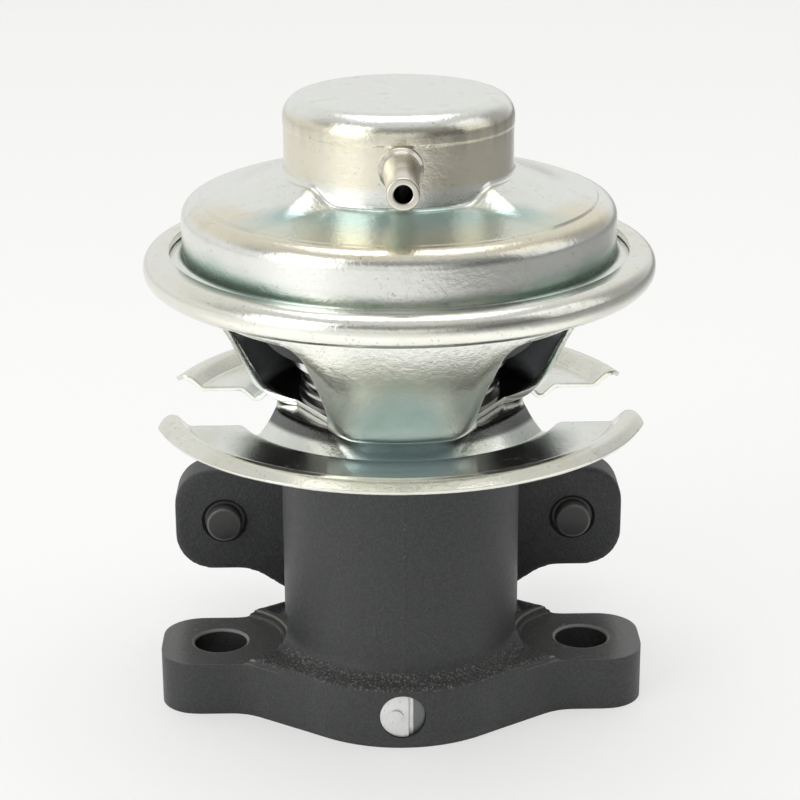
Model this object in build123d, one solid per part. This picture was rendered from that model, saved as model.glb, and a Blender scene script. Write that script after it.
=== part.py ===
from build123d import *
from math import cos, radians, sin, tan
import os

# Vacuum-operated exhaust gas recirculation valve. Millimetres, +Z up.
# The origin is the centre of the gas inlet in the base flange's lower face,
# the vacuum nipple points to -Y and the outlet flange faces +Y.

# ---------------------------------------------------------------- fits
running_clearance = 0.05        # radial, stem in its guide
soft_clearance = 0.1            # rubber and springs beside metal
seat_clearance = 0.12           # closed valve head above its seat
screw_clearance = 0.25          # radial, screws through sheet metal

# ---------------------------------------------------------------- cast body
bolt_pitch = 62.0               # between the two holes or studs of a flange
bolt_hole_radius = 4.5
ear_width = 18.7
ear_end_margin = 10.0           # from the bolt axis to the end of the base flange's ear
outlet_ear_margin = 8.8         # the same on the outlet flange
ear_corner_radius = 6.5
bulge_radius = 22.5
waist_angle = 34.0              # slope of the flange's straight flanks
waist_fillet = 9.0
base_thickness = 10.8
spot_face_radius = 9.7
spot_face_depth = 1.55
spot_step_width = 1.3
spot_step_depth = 0.8
neck_radius = 19.85
neck_top_chamfer = 2.6          # clears the heat shield's slope
body_height = 51.2
root_fillet = 3.0
cast_edge_chamfer = 0.7
port_height = 23.5              # outlet axis above the base
outlet_face_y = 27.0
outlet_flange_thickness = 7.5
port_boss_radius = 17.5
outlet_radius = 12.0
outlet_bore_depth = 11.0
outlet_passage_radius = 11.0    # from the bore into the chamber
inlet_radius = 16.0
chamber_radius = 14.4
chamber_height = 36.0
bore_chamfer = 0.5
bend_flats = 3                  # flats that draw each rounded bend of a spun section

# ---------------------------------------------------------------- valve seat, head, stem
seat_wall = 4.7
seat_height = 3.2
seat_top = 12.0
seat_bore_radius = 10.5
seat_land = 1.4                 # width and depth of the 45 degree seating cone
head_margin = 0.5               # head's rim beyond the seating cone
head_rim_height = 1.2
head_cone_height = 2.6
stem_radius = 4.0
spigot_radius = 3.0
guide_wall = 3.0
guide_length = 17.0
guide_stand_out = 4.6           # guide's top above the body

# ---------------------------------------------------------------- stack on top of the body
insulator_thickness = 1.0
insulator_margin = 0.6          # insulator's edge inside the neck's top face
shield_thickness = 0.8
case_thickness = 1.2
screw_circle_radius = 11.2
screw_count = 4
screw_start_angle = 45.0
screw_radius = 2.0
screw_head_radius = 3.3
screw_head_height = 2.2
screw_head_chamfer = 0.4
screw_length = 9.0
screw_slot_width = 0.9

# ---------------------------------------------------------------- heat shield
shield_offset_y = 1.3           # rim's centre behind the stem axis
shield_hub_y = 4.1              # hub's and groove's centre behind the stem axis
shield_hub_radius = 21.5
shield_hub_bend = 1.5
shield_groove_slope = 3.7       # width of the slope from the hub down to the groove
shield_groove_width = 1.4
shield_groove_bank = 1.9        # width of the slope from the groove up to the flat
shield_groove_drop = 3.7        # groove below the hub
shield_flat_drop = 1.9
shield_hub_flat = 1.5           # flat that belongs to the hub's centre, beyond the groove's bank
shield_crest_slope = 2.5        # width of the slope from the flat up to the crest
shield_crest_rise = 0.5
shield_crest_bend = 1.2
shield_rim_radius = 41.05
shield_rim_width = 2.75         # crest to rim
shield_rim_drop = 1.95
notch_front_y = -7.0
notch_back_y = 12.5
notch_inner_x = 20.4
notch_inner_radius = 5.0
wing_tip_radius = 3.0

# ---------------------------------------------------------------- spring case (cage) and its crimped rim
case_floor_radius = 24.2        # where floor and cone would meet
case_corner_radius = 4.2
case_top_radius = 33.9
case_depth = 21.3               # floor to the underside of the rim
case_ledge_bend = 1.5           # where the cone turns out to the rim
rim_radius = 41.45
rim_height = 5.2
rim_curl_radius = 2.5
rim_lip_width = 4.25            # how far the lip turns in from the rim's outside
leg_count = 3
leg_angle = 61.0                # angle that each leg takes
window_chord = 16.7             # from the stem axis to the floor's straight edge in a window
window_chord_radius = 5.5       # corners of that edge
window_head = 3.6               # window's upper edge below the rim
window_corner_radius = 3.0
window_lip_depth = 2.4
window_lip_start = 4.0          # lip's lower end above the case floor

# ---------------------------------------------------------------- upper cover
cover_thickness = 1.2
cover_gap = 2.1                 # between the rim's lip and the cover's wall
cover_rim_rise = 9.4            # cover's rim above its foot flange
cover_rim_fillet = 3.0
shoulder_edge_width = 6.4       # cover's wall to the start of the shoulder's slope
shoulder_outer_rise = 0.3       # shoulder's outer edge above the rim
shoulder_rise = 4.3             # shoulder's inner edge above the rim
dome_radius = 18.55
dome_foot_flare = 1.4           # cone between shoulder and dome wall, out and up
dome_foot_rise = 0.6
dome_height = 16.6              # dome's top above the cover's rim
dome_fillet = 3.5
pocket_rise = 1.8               # pocket floor at the dome above the rim
pocket_wall_reach = 13.65       # pocket wall's upper inner corner, from the middle
pocket_wall_back = 12.6
pocket_wall_rise = 5.2
pocket_normal = (0.226, -0.617, 0.754)

# ---------------------------------------------------------------- vacuum nipple
nipple_height = 8.6             # axis above the cover's rim
nipple_reach = 16.2             # from the dome wall to the tip
nipple_tip_radius = 2.5
nipple_root_radius = 2.95
nipple_bore_radius = 1.35
nipple_tip_length = 7.0
nipple_collar_radius = 3.5
nipple_collar_length = 1.4
nipple_collar_edge = 0.4
nipple_neck_length = 1.0        # cone behind the collar
nipple_end_chamfer = 0.3
nipple_tail = 1.6               # inside the dome

# ---------------------------------------------------------------- diaphragm and its plates
diaphragm_thickness = 0.9
bead_width = 3.0
bead_bond = 0.5                 # web's reach into the bead
plate_thickness = 1.2
lower_plate_radius = 17.8
lower_plate_skirt = 1.9
plate_height = 8.2              # lower plate's face above the case floor
upper_plate_radius = 22.5
upper_plate_flat_radius = 19.2
upper_plate_rise = 4.4
diaphragm_flat_radius = 21.4
diaphragm_slope_gap = 1.3       # top of the rubber's slope inside the case's wall
washer_radius = 7.5
washer_thickness = 1.0
nut_across_flats = 10.0
nut_height = 4.5
spigot_end = 1.2                # spigot beyond the nut

# ---------------------------------------------------------------- springs
main_wire_radius = 1.1
main_coil_radius = 14.4
main_turns = 6.5
balance_wire_radius = 0.55
balance_turns = 4.0
spring_ring_inner = 14.6
spring_ring_outer = 16.6
spring_ring_thickness = 0.7
spring_ring_lip = 1.3
seal_radius = 5.6
seal_height = 2.0
seal_cap_thickness = 0.7

# ---------------------------------------------------------------- studs and passage plug
stud_radius = 4.0
stud_root_radius = 3.6          # where it is screwed into the flange
stud_mouth = 0.8                # countersink round the stud in the outlet face
stud_point_radius = 3.1
stud_point_length = 2.1         # plain point beyond the flange's front face
stud_reach = 20.0               # behind the outlet face
stud_chamfer = 0.8
plug_radius = 3.75
plug_wall = 1.0                 # metal left between the plug and the inlet
plug_height = 5.7               # axis above the base
plug_x = -0.2
plug_step_depth = 0.45
plug_step_x = 1.0               # where the step starts, from the plug's axis
plug_pip_radius = 1.25
plug_pip_height = 0.45
plug_pip_x = -1.15

# ---------------------------------------------------------------- places worked out from the sizes
neck_top_radius = neck_radius - neck_top_chamfer
spot_face_z = base_thickness - spot_face_depth
spot_step_z = spot_face_z + spot_step_depth
seat_outer_radius = seat_bore_radius + seat_wall
seat_bottom = seat_top - seat_height
plug_length = bulge_radius - inlet_radius - plug_wall
guide_radius = stem_radius + guide_wall
guide_top = body_height + guide_stand_out
guide_bottom = guide_top - guide_length
shield_bottom = body_height + insulator_thickness
hub_top = shield_bottom + shield_thickness
floor_top = hub_top + case_thickness
rim_bottom = hub_top + case_depth
rim_top = rim_bottom + rim_height
cover_foot_top = rim_top - case_thickness
cover_foot_bottom = cover_foot_top - cover_thickness
cover_rim_z = cover_foot_top + cover_rim_rise
dome_top = cover_rim_z + dome_height
bead_bottom = rim_bottom + case_thickness
rim_lip_radius = rim_radius - rim_lip_width
balance_coil_radius = spring_ring_inner + spring_ring_thickness + soft_clearance + balance_wire_radius
foot_radius = rim_radius - rim_curl_radius - soft_clearance
cover_radius = rim_lip_radius - cover_gap
shoulder_radius = cover_radius - shoulder_edge_width
lower_plate_z = floor_top + plate_height
diaphragm_z = lower_plate_z + plate_thickness
upper_plate_z = diaphragm_z + diaphragm_thickness
washer_z = upper_plate_z + plate_thickness
nut_z = washer_z + washer_thickness
nipple_z = cover_rim_z + nipple_height
guide_hole_radius = guide_radius + screw_clearance


def spin(sketch):
    """Turn a half section, drawn with X as radius and Y as height, about the stem axis."""
    return revolve(Plane.XZ * sketch, axis=Axis.Z)


def half_section(points):
    """Closed half section from its corner points (radius, height)."""
    return make_face(Polyline(*points, close=True))


def bent_line(points, radii):
    """Points of a line whose corners are rounded to the radii, each bend drawn as short flats."""
    line = [points[0]]
    for before, corner, after, radius in zip(points, points[1:], points[2:], radii):
        if not radius:
            line.append(corner)
            continue
        arrive = (Vector(corner) - Vector(before)).normalized()
        leave = (Vector(after) - Vector(corner)).normalized()
        turn = leave.get_signed_angle(arrive)
        start = Vector(corner) - arrive * radius * tan(radians(abs(turn)) / 2)
        bend = JernArc(start=start, tangent=arrive, radius=radius, arc_size=turn)
        line += [bend @ (step / bend_flats) for step in range(bend_flats + 1)]
    return line + [points[-1]]


def pressed_section(points, radii, thickness):
    """Section of pressed sheet: the sheet's outer line, with its thickness to the line's left."""
    line = [Vector(point) for point in bent_line(points, radii)]
    left = [(after - before).normalized().rotate(Axis.Z, 90) for before, after in zip(line, line[1:])]
    inside = [corner + (before + after) * (thickness / (1 + before.dot(after)))
              for corner, before, after in zip(line, left[:1] + left, left + left[-1:])]
    return half_section(line + inside[::-1])


def tube(outer, inner, bottom, top):
    """Plain ring about the stem axis."""
    return spin(half_section([(inner, bottom), (outer, bottom), (outer, top), (inner, top)]))


def disc(radius, bottom, top):
    return Pos(0, 0, bottom) * extrude(Circle(radius), top - bottom)


def at_screws(shape):
    """Copies of a shape that stands on the stem axis, one at each case screw."""
    return [copy for copy in PolarLocations(screw_circle_radius, screw_count, screw_start_angle) * shape]


# ---------------------------------------------------------------- cast body
def flange_outline(end_margin):
    """Two-bolt flange: ears joined to a round middle by straight flanks."""
    flank = radians(waist_angle)
    touch_x, touch_y = bulge_radius * sin(flank), bulge_radius * cos(flank)
    half_ear = ear_width / 2
    waist_x = touch_x + (touch_y - half_ear) / tan(flank)
    ears = RectangleRounded(bolt_pitch + 2 * end_margin, ear_width, ear_corner_radius)
    middle = make_face(Polyline(
        (waist_x, -half_ear), (waist_x, half_ear), (touch_x, touch_y), (-touch_x, touch_y),
        (-waist_x, half_ear), (-waist_x, -half_ear), (-touch_x, -touch_y), (touch_x, -touch_y),
        close=True))
    outline = ears + middle + Circle(bulge_radius)
    waists = outline.vertices().filter_by(
        lambda v: abs(abs(v.X) - waist_x) < 0.01 and abs(abs(v.Y) - half_ear) < 0.01)
    return fillet(waists, waist_fillet)


def flange_plate(thickness, end_margin):
    plate = extrude(flange_outline(end_margin), thickness)
    return chamfer(plate.faces().sort_by(Axis.Z)[-1].edges(), cast_edge_chamfer)


def root_ring(radius, foot):
    """Concave root between a round wall and a face at height foot."""
    out, up = radius + 2 * root_fillet, foot + 2 * root_fillet
    bend = bent_line([(out, foot), (radius, foot), (radius, up)], [root_fillet])[1:-1]
    inside = radius - root_fillet
    return spin(half_section(bend + [(inside, foot + root_fillet), (inside, foot)]))


def ear_face_cut(bolt_x):
    """Space above an ear's machined face, drawn about the bolt axis."""
    top = base_thickness + root_fillet
    outward = 1 if bolt_x > 0 else -1
    face = Circle(spot_face_radius) + Pos(outward * ear_end_margin, 0) * Rectangle(
        2 * ear_end_margin, 2 * ear_end_margin + ear_width)
    step = Circle(spot_face_radius + spot_step_width) - Pos(outward * ear_end_margin * 2, 0) * Rectangle(
        4 * ear_end_margin, 4 * ear_end_margin)
    cut = Pos(0, 0, spot_face_z) * extrude(face, top - spot_face_z)
    return cut + Pos(0, 0, spot_step_z) * extrude(step, top - spot_step_z)


def make_valve_body():
    body = flange_plate(base_thickness, ear_end_margin)
    body += disc(neck_radius, 0, body_height - neck_top_chamfer)
    body += Pos(0, 0, body_height - neck_top_chamfer) * Cone(
        neck_radius, neck_top_radius, neck_top_chamfer, align=(Align.CENTER, Align.CENTER, Align.MIN))
    body += root_ring(neck_radius, base_thickness)

    # outlet branch: boss and flange, drawn upright and laid back towards +Y
    branch = flange_plate(outlet_flange_thickness, outlet_ear_margin)
    branch += disc(port_boss_radius, 0, outlet_face_y)
    branch += root_ring(port_boss_radius, outlet_flange_thickness)
    lay_back = Location((0, outlet_face_y, port_height), (90, 0, 0))
    branch = lay_back * branch
    body += branch

    # machined ear faces, with the cutter's shallow outer step towards the neck
    for bolt_x in (-bolt_pitch / 2, bolt_pitch / 2):
        body -= Pos(bolt_x, 0) * ear_face_cut(bolt_x)
        hole = disc(bolt_hole_radius, 0, base_thickness)
        hole += Pos(0, 0, spot_face_z - bore_chamfer) * Cone(
            bolt_hole_radius, bolt_hole_radius + bore_chamfer, bore_chamfer,
            align=(Align.CENTER, Align.CENTER, Align.MIN))
        body -= Pos(bolt_x, 0) * hole
        stud_hole = spin(half_section([
            (0, 0), (stud_root_radius + stud_mouth, 0), (stud_root_radius, stud_mouth),
            (stud_root_radius, outlet_flange_thickness - bore_chamfer),
            (stud_root_radius + bore_chamfer, outlet_flange_thickness), (0, outlet_flange_thickness)]))
        body -= lay_back * (Pos(bolt_x, 0) * stud_hole)

    # gas way: inlet with its coned end, seat pocket, chamber with a coned roof, outlet, guide bore
    inlet_end = seat_bottom - (inlet_radius - seat_outer_radius)
    body -= spin(half_section([
        (0, 0), (inlet_radius, 0), (inlet_radius, inlet_end), (seat_outer_radius, seat_bottom),
        (seat_outer_radius, seat_top), (0, seat_top)]))
    body -= spin(half_section([(0, seat_top), (chamber_radius, seat_top),
                               (chamber_radius, chamber_height - root_fillet),
                               (guide_radius, chamber_height), (0, chamber_height)]))
    passage_start = outlet_bore_depth + outlet_radius - outlet_passage_radius
    body -= lay_back * spin(half_section([
        (0, 0), (outlet_radius, 0), (outlet_radius, outlet_bore_depth),
        (outlet_passage_radius, passage_start), (outlet_passage_radius, outlet_face_y),
        (0, outlet_face_y)]))
    body -= disc(guide_radius, seat_top, body_height)

    # screw holes in the top face and the drilling closed by the front plug
    for hole in at_screws(disc(screw_radius, floor_top - screw_length, body_height)):
        body -= hole
    body -= plug_place() * disc(plug_radius, 0, plug_length)
    return body


def plug_place():
    """Frame of the front plug: Z runs into the casting from the front wall."""
    return Location((plug_x, -bulge_radius, plug_height), (-90, 0, 0))


def make_passage_plug():
    plug = disc(plug_radius, 0, plug_length)
    plug -= Pos(plug_step_x, 0, 0) * Box(plug_radius, 2 * plug_radius, plug_step_depth,
                                         align=(Align.MIN, Align.CENTER, Align.MIN))
    plug += Pos(plug_pip_x, 0, -plug_pip_height) * disc(plug_pip_radius, 0, plug_pip_height)
    return plug_place() * plug


def make_stud(bolt_x):
    """Stud screwed into the outlet flange, its plain point standing out at the front."""
    front = outlet_flange_thickness
    profile = half_section([
        (0, -stud_reach), (stud_radius - stud_chamfer, -stud_reach),
        (stud_radius, -stud_reach + stud_chamfer), (stud_radius, 0),
        (stud_root_radius, 0), (stud_root_radius, front - bore_chamfer),
        (stud_point_radius, front), (stud_point_radius, front + stud_point_length - stud_chamfer / 2),
        (stud_point_radius - stud_chamfer / 2, front + stud_point_length), (0, front + stud_point_length)])
    return Location((bolt_x, outlet_face_y, port_height), (90, 0, 0)) * spin(profile)


# ---------------------------------------------------------------- seat, guide, stem seal
def make_valve_seat():
    return spin(half_section([
        (seat_bore_radius, seat_bottom), (seat_outer_radius, seat_bottom), (seat_outer_radius, seat_top),
        (seat_bore_radius + seat_land, seat_top), (seat_bore_radius, seat_top - seat_land)]))


def make_stem_guide():
    bore = stem_radius + running_clearance
    return spin(half_section([
        (bore + bore_chamfer, guide_bottom), (guide_radius - bore_chamfer, guide_bottom),
        (guide_radius, guide_bottom + bore_chamfer), (guide_radius, guide_top),
        (bore, guide_top), (bore, guide_bottom + bore_chamfer)]))


def make_stem_seal():
    return tube(seal_radius, stem_radius + running_clearance, guide_top, guide_top + seal_height)


def make_seal_cap():
    """Pressed cap that holds the stem seal on top of the guide."""
    wall = seal_cap_thickness
    top = guide_top + seal_height
    cap = tube(seal_radius + wall, stem_radius + 2 * soft_clearance, top, top + wall)
    cap += tube(seal_radius + wall, seal_radius, guide_top, top)
    return cap + tube(guide_radius + wall, guide_radius, guide_top - 2 * wall, guide_top + wall) + tube(
        guide_radius + wall, seal_radius + wall, guide_top, guide_top + wall)


# ---------------------------------------------------------------- parts that travel with the stem
def make_valve_head():
    """Coned poppet that rests in the seat's upper edge."""
    under = seat_top - seat_land - head_margin + seat_clearance
    face_inner = seat_bore_radius - head_margin
    face_outer = seat_bore_radius + seat_land + head_margin
    rim = under + face_outer - face_inner
    return spin(half_section([
        (0, under), (face_inner, under), (face_outer, rim), (face_outer, rim + head_rim_height),
        (stem_radius + head_margin, rim + head_rim_height + head_cone_height),
        (0, rim + head_rim_height + head_cone_height)]))


def head_top():
    return seat_top + seat_clearance + head_margin + head_rim_height + head_cone_height


def make_valve_stem():
    end = nut_z + nut_height + spigot_end
    return spin(half_section([
        (0, head_top()), (stem_radius, head_top()), (stem_radius, lower_plate_z),
        (spigot_radius, lower_plate_z), (spigot_radius, end - bore_chamfer),
        (spigot_radius - bore_chamfer, end), (0, end)]))


def make_lower_plate():
    """Shallow cap under the diaphragm, its skirt turned down round the balance spring."""
    foot = lower_plate_z - lower_plate_skirt
    inside = lower_plate_radius - plate_thickness
    bend = plate_thickness / 2
    return spin(half_section([
        (spigot_radius, lower_plate_z), (inside, lower_plate_z), (inside, foot),
        (lower_plate_radius, foot), (lower_plate_radius, diaphragm_z - bend),
        (lower_plate_radius - bend, diaphragm_z), (spigot_radius, diaphragm_z)]))


def make_upper_plate():
    """Dished plate above the diaphragm that carries the return spring."""
    bend = plate_thickness / 2
    return spin(half_section([
        (spigot_radius, upper_plate_z), (upper_plate_flat_radius, upper_plate_z),
        (upper_plate_radius, upper_plate_z + upper_plate_rise),
        (upper_plate_radius - plate_thickness, upper_plate_z + upper_plate_rise),
        (upper_plate_flat_radius - bend, washer_z), (spigot_radius, washer_z)]))


def make_plate_washer():
    return tube(washer_radius, spigot_radius, washer_z, nut_z)


def make_stem_nut():
    hexagon = RegularPolygon(nut_across_flats / 2, 6, major_radius=False)
    nut = Pos(0, 0, nut_z) * extrude(hexagon - Circle(spigot_radius), nut_height)
    top = nut_z + nut_height
    crown = spin(half_section([
        (0, nut_z), (nut_across_flats, nut_z), (nut_across_flats / 2, top), (0, top)]))
    return nut & crown


# ---------------------------------------------------------------- flexible parts
def make_diaphragm():
    """Rubber disc from the plates' flat up the slope to the bead gripped in the rim."""
    inner_bead = foot_radius - bead_width
    bead_middle = (bead_bottom + cover_foot_bottom) / 2
    slope_top = bead_middle - diaphragm_thickness
    slope_radius = case_top_radius - case_thickness - diaphragm_slope_gap
    web = pressed_section(
        [(spigot_radius + soft_clearance, diaphragm_z), (diaphragm_flat_radius, diaphragm_z),
         (slope_radius, slope_top),
         (inner_bead + bead_bond, bead_middle - diaphragm_thickness / 2)],
        [0, 0], diaphragm_thickness)
    bead = half_section([(inner_bead, bead_bottom), (foot_radius, bead_bottom),
                         (foot_radius, cover_foot_bottom), (inner_bead, cover_foot_bottom)])
    return spin(web + bead)


def coil(radius, wire_radius, turns, bottom, top):
    """Helical spring that fills the height from bottom to top, its round wire drawn six-sided."""
    pitch = (top - bottom - 2 * wire_radius) / turns
    path = Pos(0, 0, bottom + wire_radius) * Helix(pitch, pitch * turns, radius)
    section = Plane(origin=path @ 0, x_dir=(0, 0, 1), z_dir=path % 0) * RegularPolygon(wire_radius, 6)
    return sweep(section, path=path, is_frenet=True)


def make_return_spring():
    return coil(main_coil_radius, main_wire_radius, main_turns, washer_z + soft_clearance,
                dome_top - cover_thickness - soft_clearance)


def make_balance_spring():
    return coil(balance_coil_radius, balance_wire_radius, balance_turns,
                floor_top + spring_ring_thickness + soft_clearance / 2, lower_plate_z - soft_clearance / 2)


def make_spring_ring():
    """Seat ring for the balance spring on the case floor, its inner edge turned up inside the coil."""
    top = floor_top + spring_ring_thickness
    ring = tube(spring_ring_outer, spring_ring_inner, floor_top, top)
    return ring + tube(spring_ring_inner + spring_ring_thickness, spring_ring_inner,
                       top, top + spring_ring_lip)


# ---------------------------------------------------------------- sheet metal outside
def make_insulator():
    ring = tube(neck_top_radius - insulator_margin, guide_radius, body_height, shield_bottom)
    for hole in at_screws(disc(screw_radius + screw_clearance, body_height, shield_bottom)):
        ring -= hole
    return ring


def shield_outline():
    """Plan of the shield: a disc with a deep notch at each side."""
    half_height = (notch_back_y - notch_front_y) / 2
    middle_y = (notch_back_y + notch_front_y) / 2 - shield_offset_y
    outline = Circle(shield_rim_radius)
    depth = shield_rim_radius
    for side in (-1, 1):
        notch = Pos(side * (notch_inner_x + depth / 2), middle_y) * Rectangle(depth, 2 * half_height)
        corners = notch.vertices().filter_by(lambda v: abs(v.X) < shield_rim_radius)
        outline -= fillet(corners, notch_inner_radius)
    tips = outline.vertices().filter_by(
        lambda v: abs((v.X ** 2 + v.Y ** 2) ** 0.5 - shield_rim_radius) < 0.01 and abs(v.X) > notch_inner_x
        and (abs(v.Y - middle_y - half_height) < 0.01 or abs(v.Y - middle_y + half_height) < 0.01))
    return fillet(tips, wing_tip_radius)


def make_heat_shield():
    """Pressed dish whose hub and groove lie further back than its rim."""
    under = shield_bottom
    groove = under - shield_groove_drop
    flat = under - shield_flat_drop
    crest = under + shield_crest_rise
    groove_inner = shield_hub_radius + shield_groove_slope
    groove_outer = groove_inner + shield_groove_width
    crest_radius = shield_rim_radius - shield_rim_width
    hub_end = groove_outer + shield_groove_bank + shield_hub_flat
    rim_line = [(0, flat), (crest_radius - shield_crest_slope, flat), (crest_radius, crest),
                (shield_rim_radius + shield_thickness, under - shield_rim_drop)]
    hub_line = [(0, under), (shield_hub_radius, under), (groove_inner, groove), (groove_outer, groove),
                (groove_outer + shield_groove_bank, flat), (hub_end, flat)]
    dish = Pos(0, shield_offset_y) * spin(pressed_section(rim_line, [0, shield_crest_bend], shield_thickness))
    dish -= Pos(0, shield_hub_y) * disc(hub_end, flat, flat + shield_thickness)
    dish += Pos(0, shield_hub_y) * spin(pressed_section(
        hub_line, [shield_hub_bend, 0, 0, 0], shield_thickness))
    dish &= Pos(0, shield_offset_y, groove - shield_thickness) * extrude(
        shield_outline(), crest - groove + 3 * shield_thickness)
    dish -= disc(guide_hole_radius, groove, hub_top)
    for hole in at_screws(disc(screw_radius + screw_clearance, under, hub_top)):
        dish -= hole
    return dish


def case_cone_radius(height):
    """Outside radius of the case's cone at a height above the floor's underside."""
    return case_floor_radius + (case_top_radius - case_floor_radius) * height / case_depth


def window_prism(start, corner_radius=0.0, grow=0.0):
    """Window seen square on, open to the floor, drawn out towards -Y from a distance from the axis."""
    half_angle = radians((360 / leg_count - leg_angle) / 2)
    foot, head = -case_thickness, case_depth - window_head
    half_foot = case_cone_radius(foot) * sin(half_angle)
    half_head = case_cone_radius(head) * sin(half_angle)
    outline = make_face(Polyline((-half_foot, foot), (half_foot, foot), (half_head, head),
                                 (-half_head, head), close=True))
    if corner_radius:
        outline = fillet(outline.vertices().group_by(Axis.Y)[-1], corner_radius)
    if grow:
        outline = offset(outline, amount=grow)
    facing = Plane(origin=(0, -start, hub_top), x_dir=(1, 0, 0), z_dir=(0, -1, 0))
    return extrude(facing * outline, rim_radius)


def window_cut():
    """Space of a window: rounded at the head and, on the floor, at the ends of the straight edge."""
    cut = window_prism(window_chord)
    uprights = cut.faces().sort_by(Axis.Y)[-1].edges().filter_by(lambda e: abs((e % 0.5).Z) > 0.5)
    return fillet(uprights, window_chord_radius) & window_prism(window_chord, window_corner_radius)


def make_spring_case():
    """Pressed lower case: floor, open cone with three legs, rim rolled over the cover's foot."""
    line = [(guide_hole_radius, hub_top), (case_floor_radius, hub_top), (case_top_radius, rim_bottom),
            (rim_radius, rim_bottom), (rim_radius, rim_top), (rim_lip_radius, rim_top)]
    radii = [case_corner_radius, case_ledge_bend, rim_curl_radius, rim_curl_radius]
    case = spin(pressed_section(line, radii, case_thickness))
    lip_foot = case_cone_radius(window_lip_start)
    lip_band = spin(half_section([
        (lip_foot - window_lip_depth, hub_top + window_lip_start), (lip_foot, hub_top + window_lip_start),
        (case_top_radius, rim_bottom), (case_top_radius - window_lip_depth, rim_bottom)]))
    lip = lip_band & window_prism(window_chord, window_corner_radius, case_thickness)
    step = 360 / leg_count
    aims = [Rot(0, 0, step * (turn + 0.5)) for turn in range(leg_count)]
    for aim in aims:
        case += aim * lip
        case -= aim * window_cut()
    for hole in at_screws(disc(screw_radius + screw_clearance, hub_top, floor_top)):
        case -= hole
    return case


def make_case_screws():
    """Slotted cheese-head screws through case, shield and insulator into the body."""
    screw = disc(screw_head_radius, floor_top, floor_top + screw_head_height)
    screw = chamfer(screw.edges().group_by(Axis.Z)[-1], screw_head_chamfer)
    screw += disc(screw_radius, floor_top - screw_length, floor_top)
    slot = Box(2 * screw_head_radius, screw_slot_width, screw_head_height / 2,
               align=(Align.CENTER, Align.CENTER, Align.MAX))
    screw -= Pos(0, 0, floor_top + screw_head_height) * slot
    return Compound(children=at_screws(screw))


# ---------------------------------------------------------------- upper cover and nipple
def pocket_cut(sink):
    """Space above the front pocket's two sloping walls, lowered by sink along their normals."""
    reach = 3 * cover_radius
    space = None
    for side in (-1, 1):
        normal = Vector(-side * pocket_normal[0], pocket_normal[1], pocket_normal[2])
        corner = Vector(side * pocket_wall_reach, -pocket_wall_back, cover_rim_z + pocket_wall_rise)
        wall = Plane(origin=corner - normal.normalized() * sink, z_dir=normal)
        half = wall * Box(reach, reach, reach, align=(Align.CENTER, Align.CENTER, Align.MIN))
        space = half if space is None else space & half
    return space


def cover_form(sink, rise):
    """Solid form of the cover, sunk by the sheet's thickness for the inside."""
    rim, top = cover_rim_z - sink, dome_top - sink
    wall, dome = cover_radius - sink, dome_radius - sink
    line = [(0, cover_foot_bottom), (wall, cover_foot_bottom), (wall, rim),
            (shoulder_radius, rim + shoulder_outer_rise), (dome + dome_foot_flare, rim + rise),
            (dome, rim + rise + dome_foot_rise), (dome, top), (0, top)]
    return spin(half_section(bent_line(line, [0, cover_rim_fillet - sink, 0, 0, 0, dome_fillet - sink])))


def cover_skin(sink):
    """Side form with the front pocket pressed in."""
    side = cover_form(sink, shoulder_rise)
    pocket = cover_form(sink, pocket_rise)
    return pocket + (side - pocket_cut(sink))


def make_upper_cover():
    cover = cover_skin(0)
    cover += disc(foot_radius, cover_foot_bottom, cover_foot_top)
    cover -= cover_skin(cover_thickness)
    cover -= disc(cover_radius - cover_thickness, rim_bottom, cover_foot_top)
    cover -= nipple_frame() * disc(nipple_root_radius, -nipple_tail, nipple_collar_length)
    return cover


def nipple_frame():
    """Frame on the dome's front wall, Z pointing out along the nipple."""
    return Location((0, -dome_radius, nipple_z), (90, 0, 0))


def make_vacuum_nipple():
    seat_back = dome_radius - (dome_radius ** 2 - nipple_collar_radius ** 2) ** 0.5
    profile = [
        (nipple_bore_radius, -nipple_tail), (nipple_root_radius, -nipple_tail),
        (nipple_root_radius, 0), (nipple_collar_radius, -seat_back),
        (nipple_collar_radius, nipple_collar_edge),
        (nipple_root_radius, nipple_collar_length + nipple_neck_length),
        (nipple_tip_radius, nipple_reach - nipple_tip_length),
        (nipple_tip_radius, nipple_reach - nipple_end_chamfer),
        (nipple_tip_radius - nipple_end_chamfer, nipple_reach),
        (nipple_bore_radius + nipple_end_chamfer, nipple_reach),
        (nipple_bore_radius, nipple_reach - nipple_end_chamfer)]
    nipple = nipple_frame() * spin(half_section(profile))
    return nipple - (disc(dome_radius, cover_rim_z, dome_top) - nipple_frame() * disc(
        nipple_root_radius, -3 * nipple_tail, nipple_reach))


parts = {
    "valve_body": make_valve_body(),
    "valve_seat": make_valve_seat(),
    "stem_guide": make_stem_guide(),
    "stem_seal": make_stem_seal(),
    "seal_cap": make_seal_cap(),
    "passage_plug": make_passage_plug(),
    "left_stud": make_stud(-bolt_pitch / 2),
    "right_stud": make_stud(bolt_pitch / 2),
    "insulator": make_insulator(),
    "heat_shield": make_heat_shield(),
    "spring_case": make_spring_case(),
    "case_screws": make_case_screws(),
    "spring_ring": make_spring_ring(),
    "balance_spring": make_balance_spring(),
    "valve_head": make_valve_head(),
    "valve_stem": make_valve_stem(),
    "lower_plate": make_lower_plate(),
    "diaphragm": make_diaphragm(),
    "upper_plate": make_upper_plate(),
    "plate_washer": make_plate_washer(),
    "stem_nut": make_stem_nut(),
    "return_spring": make_return_spring(),
    "upper_cover": make_upper_cover(),
    "vacuum_nipple": make_vacuum_nipple(),
}

os.makedirs("parts", exist_ok=True)
for name, shape in parts.items():
    export_step(shape, f"parts/{name}.step")
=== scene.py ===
import math

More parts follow.
